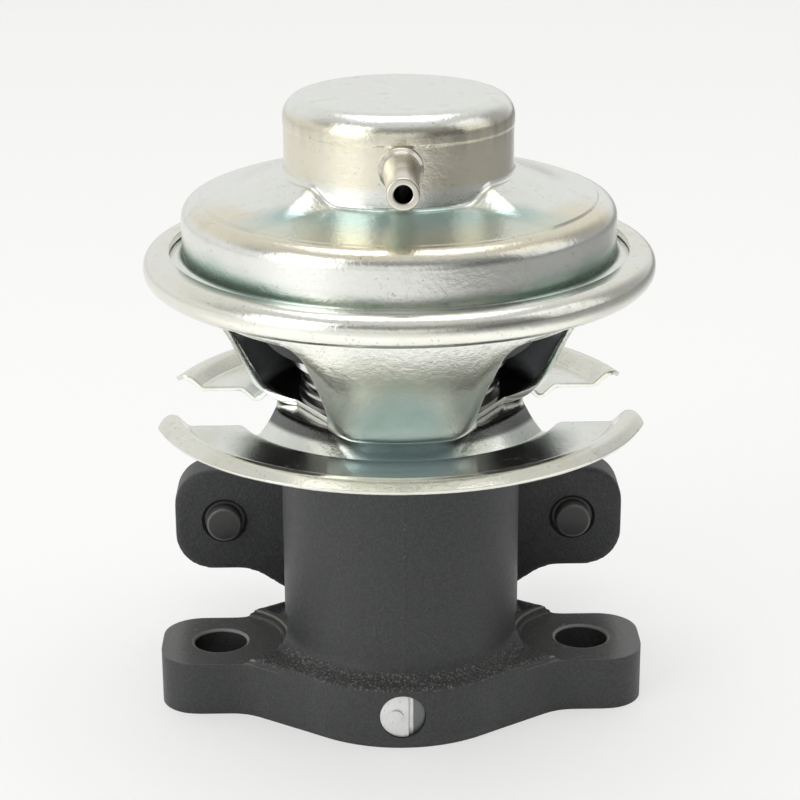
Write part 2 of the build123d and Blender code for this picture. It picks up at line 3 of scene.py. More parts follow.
import bmesh
import bpy
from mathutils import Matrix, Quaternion, Vector


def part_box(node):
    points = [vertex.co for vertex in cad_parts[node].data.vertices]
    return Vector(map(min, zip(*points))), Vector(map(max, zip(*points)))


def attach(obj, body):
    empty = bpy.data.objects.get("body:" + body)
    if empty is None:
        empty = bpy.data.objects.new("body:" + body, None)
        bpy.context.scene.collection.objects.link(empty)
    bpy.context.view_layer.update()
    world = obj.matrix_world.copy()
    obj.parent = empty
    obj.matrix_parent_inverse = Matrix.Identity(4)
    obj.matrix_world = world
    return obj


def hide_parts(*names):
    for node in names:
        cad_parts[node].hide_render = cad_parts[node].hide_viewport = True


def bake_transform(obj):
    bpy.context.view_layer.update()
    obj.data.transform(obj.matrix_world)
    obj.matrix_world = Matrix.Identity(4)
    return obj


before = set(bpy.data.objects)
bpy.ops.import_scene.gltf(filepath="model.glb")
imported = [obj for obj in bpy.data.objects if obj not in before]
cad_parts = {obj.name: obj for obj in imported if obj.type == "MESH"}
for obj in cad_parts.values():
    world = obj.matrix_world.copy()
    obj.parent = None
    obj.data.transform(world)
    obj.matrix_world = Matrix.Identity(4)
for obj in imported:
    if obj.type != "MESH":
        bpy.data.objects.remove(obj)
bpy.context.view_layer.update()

# Exhaust gas recirculation valve: pressed zinc-plated cover, case and heat shield
# on a black cast body. Sizes are in millimetres unless a name says otherwise.
MM = 0.001


# ---------------------------------------------------------------- places read from the frame
def span(node):
    low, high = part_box(node)
    return low / MM, high / MM


cover_high = span("upper_cover")[1]
case_low, case_high = span("spring_case")
nipple_low, nipple_high = span("vacuum_nipple")
plug_low, plug_high = span("passage_plug")
rubber_low, rubber_high = span("diaphragm")
plate_low, plate_high = span("lower_plate")

sheet = 1.2
shield_sheet = 0.8
cover_wall_height = 9.4
hub_top = case_low.z                  # shield's hub face, under the case
rim_top = case_high.z
rim_radius = case_high.x
foot_radius = cover_high.x
dome_top = cover_high.z
body_top = span("valve_body")[1].z
nipple_z = (nipple_low.z + nipple_high.z) / 2
plug_middle = (plug_low + plug_high) / 2
cover_foot_top = rim_top - sheet
cover_rim_z = cover_foot_top + cover_wall_height

# ---------------------------------------------------------------- sheet metal sizes
cover_radius = 35.1
cover_rim_bend = 3.0
shoulder_radius = 28.7
shoulder_edge_rise = 0.3
shoulder_rise = 4.3
dome_radius = 18.55
dome_foot_bend = 0.9
dome_step_z = 99.4                    # faint step that the press left round the dome's wall
dome_step = 0.12
dome_bend = 3.5
pocket_rise = 1.8
pocket_corner = Vector((13.65, -12.6, 5.2))
pocket_normal = Vector((0.226, -0.617, 0.754))
fold_softness = 1.1

case_floor_radius = 24.2
case_top_radius = 33.9
rim_bottom = hub_top + 21.3
case_floor_bend = 4.2
floor_radius = 21.5                   # where the flat floor bends up
case_ledge_bend = 1.5
rim_curl = 2.5
rim_lip_radius = 37.2
guide_hole_radius = 7.25
leg_count = 3
window_half_angle = math.radians(30.2)
window_flat = 5.1                     # how far a window's side of the case lies inside the cone
window_foot_bend = 6.5
window_head = 3.6
window_corner = 3.2

shield_rim_y = 1.3
shield_hub_y = 4.1
shield_hub = 21.5
# radius and drop below the hub: groove, its outer bank, the flat, the foot of the rim
shield_line = ((25.2, 3.7), (26.6, 3.7), (28.5, 1.9), (35.8, 1.9), (38.3, -0.5))
shield_rim = 41.05
shield_rim_drop = 1.95
notch_front, notch_back = -7.0, 12.5
notch_inner_x = 20.4
notch_inner_bend = 5.0
wing_tip_bend = 3.0

nipple_bore = 1.35
nipple_reach = (nipple_high.y - nipple_low.y) - 1.6          # out of the dome's wall

# ---------------------------------------------------------------- cast body sizes
bolt_x = 31.0
bolt_hole = 4.5
ear_width = 18.7
ear_reach = 41.0
outlet_ear_reach = 39.8
ear_corner = 6.5
bulge_radius = 22.5
waist_slope = math.radians(34)
waist_bend = 9.0
base_thickness = 10.8
spot_face_z = 9.25
neck_radius = 19.85
neck_root = 3.0
neck_top_chamfer = 2.6
port_z = 23.5
outlet_y = 27.0
outlet_flange = 7.5
port_boss = 17.5
port_bore = 12.0
inlet_bore = 16.0
chamber = (14.4, 36.0)                # radius, top
stud_seat = 3.55


# ---------------------------------------------------------------- node maths for the finishes
class Value:
    """A socket of a material's nodes; arithmetic on it adds Math nodes."""

    def __init__(self, finish, socket):
        self.finish, self.socket = finish, socket

    def math(self, operation, *others, clamp=False):
        node = self.finish.add("ShaderNodeMath", {"operation": operation, "use_clamp": clamp},
                               dict(enumerate((self,) + others)))
        return node[0]

    def __add__(self, other):
        return self.math("ADD", other)

    __radd__ = __add__

    def __sub__(self, other):
        return self.math("SUBTRACT", other)

    def __rsub__(self, other):
        return (self * -1) + other

    def __mul__(self, other):
        return self.math("MULTIPLY", other)

    __rmul__ = __mul__

    def __truediv__(self, other):
        return self.math("DIVIDE", other)

    def __abs__(self):
        return self.math("ABSOLUTE")

    def ramp(self, low, high):
        """0 below low, 1 above high, smooth between."""
        node = self.finish.add("ShaderNodeMapRange", {"interpolation_type": "SMOOTHSTEP"},
                               {"Value": self, "From Min": low, "From Max": high})
        return node["Result"]


def distance(across, along):
    """Length of the line with these two parts."""
    return (across * across + along * along).math("SQRT")


class Nodes:
    """One node: its outputs by name or number as Values."""

    def __init__(self, finish, node):
        self.finish, self.node = finish, node

    def __getitem__(self, key):
        return Value(self.finish, self.node.outputs[key])


class Graph:
    """A node tree that is filled from Python."""

    def __init__(self, tree):
        self.tree = tree
        self.tree.nodes.clear()

    def add(self, kind, settings=None, inputs=None):
        """Any node from its type, its settings and the values or links of its sockets."""
        node = self.tree.nodes.new(kind)
        for key, value in (settings or {}).items():
            setattr(node, key, value)
        for key, value in (inputs or {}).items():
            if isinstance(value, Value):
                self.tree.links.new(value.socket, node.inputs[key])
            else:
                node.inputs[key].default_value = value
        return Nodes(self, node)

    def split(self, vector):
        parts = self.add("ShaderNodeSeparateXYZ", {}, {0: vector})
        return [parts[i] for i in range(3)]

    def mix(self, factor, first, second):
        """Blend of two colours."""
        return self.add("ShaderNodeMix", {"data_type": "RGBA"}, {
            0: factor, 6: self.colour(first), 7: self.colour(second)})[2]

    @staticmethod
    def colour(value):
        return value if isinstance(value, Value) else (*value, 1.0)


class Finish(Graph):
    """A procedural material."""

    def __init__(self, name):
        self.material = bpy.data.materials.new(name)
        self.material.use_nodes = True
        super().__init__(self.material.node_tree)
        self.place = self.add("ShaderNodeTexCoord")["Object"]

    def noise(self, size_mm, detail=3.0, roughness=0.5, stretch=(1, 1, 1), distortion=0.0):
        """Noise about 0.5 whose grains are about size_mm across."""
        scaled = self.add("ShaderNodeMapping", {}, {"Vector": self.place, "Scale": stretch})["Vector"]
        return self.add("ShaderNodeTexNoise", {}, {
            "Vector": scaled, "Scale": 1 / (size_mm * MM), "Detail": detail,
            "Roughness": roughness, "Distortion": distortion})["Fac"]

    def cells(self, size_mm, feature="F1"):
        return self.add("ShaderNodeTexVoronoi", {"feature": feature}, {
            "Vector": self.place, "Scale": 1 / (size_mm * MM)})

    def axes(self):
        """X, Y and Z of the place on the object, in millimetres."""
        return [part * (1 / MM) for part in self.split(self.place)]

    def facing_up(self):
        """World height of the surface normal: 1 facing up, -1 facing down."""
        return self.split(self.add("ShaderNodeNewGeometry")["Normal"])[2]

    def bump(self, height, distance_mm, strength=1.0):
        return self.add("ShaderNodeBump", {}, {
            "Height": height, "Distance": distance_mm * MM, "Strength": strength})["Normal"]

    def surface(self, **inputs):
        """Closes the material with a Principled BSDF; names use _ for a space."""
        named = {key.replace("_", " "): value for key, value in inputs.items()}
        shader = self.add("ShaderNodeBsdfPrincipled", {}, named)["BSDF"]
        self.add("ShaderNodeOutputMaterial", {}, {"Surface": shader})
        return self.material


# ---------------------------------------------------------------- finishes
bright_zinc = (0.83, 0.84, 0.79)
teal_film, straw_film, blue_film = (0.42, 0.55, 0.48), (0.77, 0.70, 0.52), (0.50, 0.70, 0.74)
# zinc_stain and zinc_speck are the plating's own marks; the near-black third colour on the next line is for
# painted shade and painted dark reflections.
zinc_stain, zinc_speck, painted_shade_tone = (0.60, 0.58, 0.50), (0.28, 0.28, 0.26), (0.02, 0.022, 0.026)
black_skin, light_black_skin = (0.031, 0.032, 0.034), (0.04185, 0.0432, 0.0459)
skin_hollow, skin_grain = (0.010, 0.010, 0.011), (0.11, 0.11, 0.105)
seam_chip, foot_sparkle = (0.22, 0.20, 0.17), (0.20, 0.19, 0.165)
# the second and third colours here are lifted to paint highlights: on the worn bank ridges and on the bolt
# holes' chamfer
cut_iron, bank_wear_highlight, hole_chamfer_highlight = (0.105, 0.104, 0.102), (0.26, 0.25, 0.20), (0.30, 0.30, 0.29)


def zinc_plate(name, places, roughness=0.17, relief=0.05):
    """Bright zinc plating under a clear film that turns teal, straw or blue in places.

    places gives, from the finish and X, Y and Z in millimetres, how strong the three tints
    are and how much painted shade and painted dark reflection darken the surface.
    """
    finish = Finish(name)
    x, y, z = finish.axes()
    teal, straw, blue, painted_shade = places(finish, x, y, z)
    cloud = finish.noise(11, 3.0, 0.55)
    patch = finish.noise(4.5, 3.0, 0.6)
    grain = finish.noise(0.32, 4.0, 0.65)
    peel = finish.noise(1.0, 3.0, 0.6)
    wander = (cloud - 0.5) * 0.9
    colour = finish.mix((teal + wander).ramp(0.15, 1.1), bright_zinc, teal_film)
    colour = finish.mix((straw + wander * 0.7).ramp(0.15, 1.0) * 0.85, colour, straw_film)
    colour = finish.mix((blue + wander * 0.4).ramp(0.2, 1.0) * 0.7, colour, blue_film)
    stain = patch.ramp(0.56, 0.74) * 0.25
    specks = finish.noise(0.6, 2.0, 0.75).ramp(0.64, 0.71) * 0.5
    pits = finish.noise(2.6, 5.0, 0.8).ramp(0.64, 0.69) * 0.45
    colour = finish.mix(stain, colour, zinc_stain)
    colour = finish.mix(specks + pits, colour, zinc_speck)
    # painted shade: darkens the plating towards near black wherever the places ask for it
    colour = finish.mix(painted_shade, colour, painted_shade_tone)
    dull = roughness + (cloud - 0.5) * 0.10 + (grain - 0.5) * 0.18 + stain * 0.3 + painted_shade * 0.15
    height = grain * 0.3 + peel * 0.7
    metal = 0.93 - blue.ramp(0.1, 1.0) * 0.3 + painted_shade * 0.07
    return finish.surface(Base_Color=colour, Metallic=metal, Roughness=dull,
                          Normal=finish.bump(height, relief, 0.8))


def cover_tints(finish, x, y, z):
    """Teal round the wall's foot and in the pocket, straw on the dome; painted shade in a streaky band
    under the dome's edge, stronger on the right, and low on the wall's sides above the rim.
    """
    wall = 1 - finish.facing_up().ramp(0.25, 0.8)
    low = 1 - z.ramp(78.8, 85.5)
    sides = abs(x).ramp(8, 30)
    foot = 1 - z.ramp(79.5, 82.0)
    pocket = (1 - z.ramp(89.5, 91.8)) * (1 - y.ramp(-20, -12)) * z.ramp(86.8, 88.4)
    streaks = finish.noise(2.2, 2.0, 0.6, stretch=(1, 1, 0.12)).ramp(0.35, 0.7)
    band = z.ramp(96.5, 100.5) * (1 - z.ramp(101.2, 102.4)) * wall * (0.35 + x.ramp(-4, 12) * 0.45)
    dome = z.ramp(91.5, 93.5) * wall
    edge = z.ramp(85.0, 87.0) * (1 - z.ramp(88.2, 89.4)) * (1 - y.ramp(-16, 4))
    teal = low * wall * (sides * 1.1 + foot * 0.6) + pocket * 0.9
    # painted shade: a streaky dark band under the dome's edge, darker to the right, and darkening low on
    # the wall just above the rim, more at the sides
    painted_shade = band * streaks * 0.35 + foot * wall * (0.15 + sides * 0.35)
    return teal, dome * 0.7 + edge * 0.8, pocket * 0.6, painted_shade


def case_tints(finish, x, y, z):
    """Straw on the rim's top, teal towards the legs' feet; painted shade low down inside, with a painted
    lighter, bluer patch high on the inner sides.
    """
    normal = finish.split(finish.add("ShaderNodeNewGeometry")["Normal"])
    radius = distance(x, y)
    inward = ((normal[0] * x + normal[1] * y) / radius * -1).ramp(0.42, 0.7)
    floor = normal[2].ramp(0.5, 0.8) * (1 - z.ramp(55, 57))
    inside = (inward + floor).math("MINIMUM", 1.0) * (1 - z.ramp(72, 73.5))
    # painted light: a lighter patch high on the left and right inner sides
    painted_light_patch = z.ramp(60.5, 66.5) * abs(x).ramp(14, 24)
    # painted shade over the inner faces and the floor, lifted where the painted light patch is
    painted_shade = inside * (0.97 - painted_light_patch * 0.9)
    body = z.ramp(55.0, 57.5)
    teal = (1 - z.ramp(58, 72)) * body * 0.5 + 0.1
    # blue film low on the legs; the blue on the painted light patch inside is a painted reflection
    blue = body * (1 - z.ramp(57, 62)) * 0.3 + inside * painted_light_patch * 0.8
    return teal, z.ramp(73.0, 76.0) * 0.4, blue, painted_shade


def shield_tints(finish, x, y, z):
    """Blue at the front, straw out to the rim; painted dark reflection on the hub's slope and both sides of
    the flat.
    """
    middle, far, hub = distance(x, y + 24), distance(x, y), distance(x, y - shield_hub_y)
    slope = hub.ramp(21.4, 21.9) * (1 - hub.ramp(23.3, 24.0)) * abs(x).ramp(5, 9)
    flat = hub.ramp(26.4, 27.2) * (1 - far.ramp(32.5, 34.5)) * (1 - y.ramp(-14, -8))
    flat = flat * abs(x).ramp(8, 14) * (1 - abs(x).ramp(24, 30))
    # painted dark reflection on the hub's slope and on both sides of the flat
    painted_shade = slope * 0.8 + flat * 0.45
    return 0.35 - far.ramp(33, 38) * 0.1, far.ramp(26, 36) * 0.45, 1 - middle.ramp(6, 16), painted_shade


def plain_tints(finish, x, y, z):
    """The same faint teal and straw all over."""
    none = x * 0
    return none + 0.2, none + 0.2, none, none


def cast_iron(name):
    """Phosphated black casting: fine sand skin, clean where the cutter has been."""
    finish = Finish(name)
    x, y, z = finish.axes()
    skin = finish.noise(0.45, 5.0, 0.65)
    coarse = finish.noise(1.8, 3.0, 0.6)
    cloud = finish.noise(12, 2.0)
    radius = distance(x, y)
    front = 1 - (y + 4).ramp(0, 8)
    foot = z.ramp(9.9, 10.3) * (1 - z.ramp(12.0, 13.6)) * radius.ramp(19.9, 20.6)
    foot = foot * front * (1 - abs(x).ramp(23, 25)) * (1 - (y + 9).ramp(0, 4) * 0.7)
    sparkle = finish.noise(0.4, 2.0, 0.8).ramp(0.50, 0.66)
    seam = (1 - abs(x - 0.2).ramp(0.1, 0.5)) * front * z.ramp(12, 14)
    chips = seam * finish.noise(0.9, 3.0, 0.7).ramp(0.60, 0.68)
    machined = z.ramp(9.15, 9.2) * (1 - z.ramp(9.32, 9.4)) * abs(x).ramp(20.5, 21)
    tone = finish.mix(cloud, black_skin, light_black_skin)
    tone = finish.mix((1 - skin.ramp(0.38, 0.60)) * 0.55 * (1 - machined), tone, skin_hollow)
    tone = finish.mix(skin.ramp(0.60, 0.72) * 0.35, tone, skin_grain)
    tone = finish.mix(chips * 0.6, tone, seam_chip)
    tone = finish.mix(foot * sparkle * 0.8, tone, foot_sparkle)
    rings = distance(abs(x) - bolt_x, y)
    ridge = rings.ramp(10.2, 10.5) * (1 - rings.ramp(11.9, 12.4))
    ridge = ridge * z.ramp(9.4, 9.6) * (1 - z.ramp(10.6, 11.2))
    # lighter bands on the rippled banks: worn paint on the ridges, also a painted highlight on them
    wear_and_highlight = ridge * (z * 7.5).math("SINE").ramp(-0.2, 0.9)
    # bolt holes' chamfer: cut metal, painted much lighter as a highlight
    rim = (1 - rings.ramp(bolt_hole + 0.35, bolt_hole + 0.5)) * z.ramp(8.75, 8.85)
    tone = finish.mix(machined * 0.85, tone, cut_iron)
    tone = finish.mix(wear_and_highlight * 0.75, tone, bank_wear_highlight)
    tone = finish.mix(rim * 0.8, tone, hole_chamfer_highlight)
    tool_marks = (rings * 5 + skin * 4).math("SINE") * machined * 0.012
    rough = 0.45 + (coarse - 0.5) * 0.14 + foot * 0.1 - machined * 0.19
    height = (skin * 0.6 + coarse * 0.4) * (1 - machined * 0.93)
    height = height + foot * skin * 1.2 + tool_marks + seam * 0.35
    return finish.surface(Base_Color=tone, Roughness=rough, Metallic=0.0,
                          Normal=finish.bump(height, 0.22, 0.8))


def blackened_steel(name):
    finish = Finish(name)
    cloud = finish.noise(3, 3.0)
    grain = finish.noise(0.3, 3.0)
    x, y, z = finish.axes()
    flange_face = outlet_y - outlet_flange
    off_axis = distance(abs(x) - bolt_x, z - port_z)
    # lighter ring round the stud's point edge: worn edge, also a painted highlight
    wear_and_highlight = off_axis.ramp(2.55, 2.85) * (1 - y.ramp(flange_face - 0.6, flange_face - 0.2))
    tone = finish.mix(cloud, (0.030, 0.030, 0.031), (0.055, 0.054, 0.052))
    tone = finish.mix(wear_and_highlight * (0.4 + grain * 0.8), tone, (0.15, 0.15, 0.145))
    return finish.surface(Base_Color=tone, Metallic=0.35, Roughness=0.36 + (cloud - 0.5) * 0.2,
                          Normal=finish.bump(grain, 0.03, 0.4))


def dark_spring_steel(name):
    finish = Finish(name)
    cloud = finish.noise(4, 2.0)
    tone = finish.mix(cloud, (0.42, 0.42, 0.40), (0.72, 0.71, 0.68))
    return finish.surface(Base_Color=tone, Metallic=1.0, Roughness=0.2 + cloud * 0.12,
                          Normal=finish.bump(finish.noise(0.5), 0.01, 0.5))


def diaphragm_rubber(name):
    """Fabric-reinforced black rubber."""
    finish = Finish(name)
    weave = finish.cells(0.7)["Distance"]
    cloud = finish.noise(6, 2.0)
    tone = finish.mix(cloud, (0.010, 0.010, 0.012), (0.022, 0.022, 0.026))
    return finish.surface(Base_Color=tone, Roughness=0.42 + cloud * 0.15,
                          Normal=finish.bump(weave, 0.05, 0.5))


def turned_tube(name):
    """Nickel-warm plated tube with faint turning lines, its bore painted near black as shade."""
    finish = Finish(name)
    x, _, z = finish.axes()
    rings = finish.noise(0.35, 3.0, stretch=(0.15, 3, 0.15))
    cloud = finish.noise(3, 2.0)
    tone = finish.mix(cloud, (0.62, 0.585, 0.50), (0.76, 0.735, 0.67))
    # painted shade: the bore's wall is near black
    bore_painted_shade = 1 - distance(x, z - nipple_z).ramp(nipple_bore + 0.03, nipple_bore + 0.15)
    tone = finish.mix(bore_painted_shade * 0.97, tone, (0.01, 0.01, 0.01))
    return finish.surface(Base_Color=tone, Metallic=1.0, Roughness=0.23 + (cloud - 0.5) * 0.15,
                          Normal=finish.bump(rings, 0.02, 0.5))


def bright_plug_metal(name):
    """Soft bright plug, duller on its recessed side and darkened there with painted shade."""
    finish = Finish(name)
    x = finish.axes()[0]
    cloud = finish.noise(1.6, 4.0, 0.6)
    grain = finish.noise(0.3, 3.0)
    # the struck side: a duller grey face, darkened further with painted shade of the recess
    step = x.ramp(1.4, 1.6)           # the struck side
    tone = finish.mix(cloud, (0.62, 0.62, 0.61), (0.82, 0.82, 0.81))
    tone = finish.mix(step * 0.9, tone, (0.10, 0.105, 0.105))
    scratches = finish.noise(0.25, 2.0, stretch=(1, 1, 0.2)).ramp(0.62, 0.72)
    tone = finish.mix(scratches * 0.5, tone, (0.20, 0.20, 0.20))
    return finish.surface(Base_Color=tone, Metallic=0.75, Roughness=0.32 + cloud * 0.15,
                          Normal=finish.bump(grain + cloud, 0.05, 0.6))


def inner_metal(name, base=(0.42, 0.41, 0.39)):
    finish = Finish(name)
    cloud = finish.noise(5, 3.0)
    lines = finish.noise(0.4, 3.0)
    tone = finish.mix(cloud, base, tuple(0.7 * c for c in base))
    return finish.surface(Base_Color=tone, Metallic=1.0, Roughness=0.35 + (cloud - 0.5) * 0.2,
                          Normal=finish.bump(lines, 0.02, 0.4))


def fibre_gasket(name):
    finish = Finish(name)
    fibres = finish.noise(0.5, 4.0, stretch=(1, 1, 4))
    tone = finish.mix(fibres, (0.06, 0.058, 0.055), (0.16, 0.155, 0.145))
    return finish.surface(Base_Color=tone, Roughness=0.85, Normal=finish.bump(fibres, 0.06, 0.6))


# ---------------------------------------------------------------- mesh making
def piece(name, points, faces, finish, body, smooth=35.0):
    """Object from points in millimetres and faces, with consistent outward normals."""
    mesh = bpy.data.meshes.new(name)
    mesh.from_pydata([Vector(p) * MM for p in points], [], faces)
    work = bmesh.new()
    work.from_mesh(mesh)
    bmesh.ops.remove_doubles(work, verts=work.verts, dist=0.002 * MM)
    bmesh.ops.dissolve_degenerate(work, edges=work.edges, dist=0.001 * MM)
    bmesh.ops.recalc_face_normals(work, faces=work.faces)
    work.to_mesh(mesh)
    work.free()
    obj = bpy.data.objects.new(name, mesh)
    bpy.context.collection.objects.link(obj)
    mesh.materials.append(finish)
    smooth_by_angle(obj, smooth)
    if body:
        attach(obj, body)
    return obj


def smooth_by_angle(obj, degrees):
    mesh = obj.data
    mesh.shade_smooth()
    mesh.set_sharp_from_angle(angle=math.radians(degrees))


def rounded_line(points, radii, flats=8):
    """Points of a line whose inner corners are rounded to the radii."""
    line = [Vector(points[0])]
    for before, corner, after, radius in zip(points, points[1:], points[2:], radii):
        corner = Vector(corner)
        arrive = (corner - Vector(before)).normalized()
        leave = (Vector(after) - corner).normalized()
        if not radius:
            line.append(corner)
            continue
        half = arrive.angle(leave) / 2
        start, end = corner - arrive * radius * math.tan(half), corner + leave * radius * math.tan(half)
        centre = corner + (leave - arrive).normalized() * (radius / math.cos(half))
        first, last = start - centre, end - centre
        line += [centre + first.slerp(last, step / flats) * radius for step in range(flats + 1)]
    return line + [Vector(points[-1])]


def offset_line(line, distance):
    """The line moved to its left by the distance, mitred at its corners."""
    left = [Vector((-(b - a).y, (b - a).x)).normalized() for a, b in zip(line, line[1:])]
    return [p + (a + b) * (distance / (1 + a.dot(b)))
            for p, a, b in zip(line, left[:1] + left, left + left[-1:])]


def spun(section, steps=180, closed=True):
    """Points and faces of a section of (radius, height) turned about the stem axis."""
    points, faces = [], []
    count = len(section)
    for turn in range(steps):
        angle = 2 * math.pi * turn / steps
        points += [(p[0] * math.cos(angle), p[0] * math.sin(angle), p[1]) for p in section]
    for turn in range(steps):
        here, there = turn * count, (turn + 1) % steps * count
        for i in range(count if closed else count - 1):
            j = (i + 1) % count
            faces.append((here + i, there + i, there + j, here + j))
    return points, faces


def grid_faces(rows, columns, wrap):
    """Quads of a grid kept row by row; wrap closes each row on itself."""
    faces = []
    for row in range(rows - 1):
        for column in range(columns if wrap else columns - 1):
            after = (column + 1) % columns
            faces.append((row * columns + column, row * columns + after,
                          (row + 1) * columns + after, (row + 1) * columns + column))
    return faces


def thicken(obj, thickness, edge=0.16):
    """Gives a single outside surface its sheet thickness, with broken edges where it is cut."""
    solid = obj.modifiers.new("thickness", "SOLIDIFY")
    solid.thickness = thickness * MM
    solid.offset = -1.0
    solid.use_even_offset = True
    broken = obj.modifiers.new("edges", "BEVEL")
    broken.width = edge * MM
    broken.segments = 2
    broken.limit_method = "ANGLE"
    broken.angle_limit = math.radians(60)
    broken.use_clamp_overlap = False
    settle(obj)


def settle(obj, smooth=35.0):
    """Keeps the result of the modifiers as the piece's own mesh."""
    graph = bpy.context.evaluated_depsgraph_get()
    mesh = bpy.data.meshes.new_from_object(obj.evaluated_get(graph))
    obj.modifiers.clear()
    obj.data = mesh
    smooth_by_angle(obj, smooth)


def soft_max(a, b, softness):
    blend = max(softness - abs(a - b), 0.0) / softness
    return max(a, b) + blend * blend * softness / 4


def soft_min(a, b, softness):
    return -soft_max(-a, -b, softness)


# ---------------------------------------------------------------- upper cover
def shoulder_height(x, y):
    """Height of the cover's shoulder, with the front pocket pressed in."""
    radius = math.hypot(x, y)
    rim = cover_rim_z
    inner = dome_radius + dome_foot_bend
    share = (shoulder_radius - radius) / (shoulder_radius - inner)
    edge = rim + shoulder_edge_rise * (cover_radius - cover_rim_bend - radius) / (
        cover_radius - cover_rim_bend - shoulder_radius)
    side = soft_max(edge, rim + shoulder_edge_rise + (shoulder_rise - shoulder_edge_rise) * share, 0.8)
    floor = soft_max(edge, rim + shoulder_edge_rise + (pocket_rise - shoulder_edge_rise) * share, 0.8)
    walls = []
    for hand in (-1, 1):
        away_x = (x - hand * pocket_corner.x) * -hand * pocket_normal.x
        away_y = (y - pocket_corner.y) * pocket_normal.y
        walls.append(rim + pocket_corner.z - (away_x + away_y) / pocket_normal.z)
    wall = soft_max(walls[0], walls[1], fold_softness)
    return soft_max(floor, soft_min(side, wall, fold_softness), fold_softness)


def make_upper_cover(finish):
    """Foot, wall, shoulder with its pocket and dome, as one pressed sheet."""
    steps = 320
    shoulder_samples = 44
    columns = []
    for turn in range(steps):
        angle = 2 * math.pi * turn / steps
        cos, sin = math.cos(angle), math.sin(angle)
        line = rounded_line([(foot_radius, cover_foot_top), (cover_radius, cover_foot_top),
                             (cover_radius, cover_rim_z),
                             (cover_radius - cover_rim_bend - 0.01, cover_rim_z)],
                            [1.0, cover_rim_bend], 10)
        outer, inner = cover_radius - cover_rim_bend, dome_radius + dome_foot_bend
        for i in range(1, shoulder_samples + 1):
            radius = outer + (inner - outer) * i / shoulder_samples
            line.append(Vector((radius, shoulder_height(radius * cos, radius * sin))))
        base = line[-1].y
        below_step = dome_radius - dome_step
        line += rounded_line([(inner, base), (below_step, base), (below_step, dome_step_z),
                              (dome_radius, dome_step_z + 0.5), (dome_radius, dome_top),
                              (dome_radius - dome_bend, dome_top)],
                             [dome_foot_bend, 0.2, 0.2, dome_bend], 10)[1:]
        line += [Vector((radius, dome_top)) for radius in (12.0, 9.0, 6.0, 3.0, 0.8)]
        columns.append([(p.x * cos, p.x * sin, p.y) for p in line])
    count = len(columns[0])
    points = [columns[turn][row] for row in range(count) for turn in range(steps)]
    faces = grid_faces(count, steps, True)
    faces.append(tuple((count - 1) * steps + turn for turn in range(steps)))
    cover = piece("upper_cover_skin", points, faces, finish, "housing")
    outward_up(cover)
    thicken(cover, sheet - 0.1)
    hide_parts("upper_cover")
    return cover


def outward_up(obj):
    """Turns an open sheet's normals so that its highest face looks up."""
    mesh = obj.data
    top = max(mesh.polygons, key=lambda face: face.center.z)
    if top.normal.z < 0:
        mesh.flip_normals()


# ---------------------------------------------------------------- spring case and its rolled rim
def case_radius(z):
    """Outside radius of the case's cone at a height."""
    spread = case_top_radius - case_floor_radius
    return case_floor_radius + spread * (z - hub_top) / (rim_bottom - hub_top)


def smooth_step(value, low, high):
    share = min(max((value - low) / (high - low), 0.0), 1.0)
    return share * share * (3 - 2 * share)


def case_reach(cone, turn, z):
    """Outside radius of the three-sided case from the cone's radius and the turn from a leg's middle."""
    sector = math.pi / leg_count
    sink = window_flat * smooth_step(cone, 11.0, floor_radius)
    flat = (cone - sink) / math.cos(sector - abs(turn))
    softness = 1.5 * sink / window_flat + 0.01
    fade = 1 - smooth_step(z, rim_bottom - 14.0, rim_bottom - window_head + 0.8)
    return cone - fade * (cone - soft_min(cone, flat, softness))


def leg_half_angle(cone, z):
    """Half the angle that a leg takes at a height, between the windows beside it."""
    sector = math.pi / leg_count
    across = case_radius(z) * math.sin(window_half_angle)
    for bend, rise in ((window_foot_bend, hub_top + window_foot_bend - z),
                       (window_corner, z - (rim_bottom - window_head - window_corner))):
        if rise > 0:
            across -= bend - math.sqrt(max(bend ** 2 - rise ** 2, 0.0))
    half = sector / 2
    for _ in range(20):
        half = sector - math.asin(across / case_reach(cone, half, z))
    return half


def circles_meet(radius, centre, other, far=False):
    """Angle of the point where a circle about the origin meets another, on the side asked for."""
    distance = centre.length
    cosine = (radius ** 2 + distance ** 2 - other ** 2) / (2 * radius * distance)
    swing = math.acos(max(-1.0, min(1.0, cosine)))
    angle = math.atan2(centre.y, centre.x)
    return angle - swing if far else angle + swing


def case_section():
    """Cone's outside line in three stretches: the flat floor, the legs up to the windows' head, the rim."""
    line = rounded_line(
        [(guide_hole_radius, hub_top), (case_floor_radius, hub_top), (case_top_radius, rim_bottom),
         (rim_radius, rim_bottom), (rim_radius, rim_top), (rim_lip_radius, rim_top)],
        [case_floor_bend, case_ledge_bend, rim_curl, rim_curl], 14)
    head = rim_bottom - window_head
    foot = [Vector((floor_radius, hub_top))]
    while foot[-1].x - guide_hole_radius > 0.5:
        foot.append(Vector((foot[-1].x - 0.45, hub_top)))
    cone = [p for p in line if p.x > floor_radius + 0.02 and p.y < hub_top + case_floor_bend]
    wall_steps = 56
    start = cone[-1].y
    for i in range(1, wall_steps + 1):
        z = start + (head - start) * math.sin(math.pi / 2 * i / wall_steps)
        cone.append(Vector((case_radius(z), z)))
    rim = [Vector((case_radius(z), z)) for z in (head + 0.6, head + 1.2, head + 1.9)]
    return foot[::-1], foot[:1] + cone, cone[-1:] + rim + [p for p in line if p.y > head + 2.0]


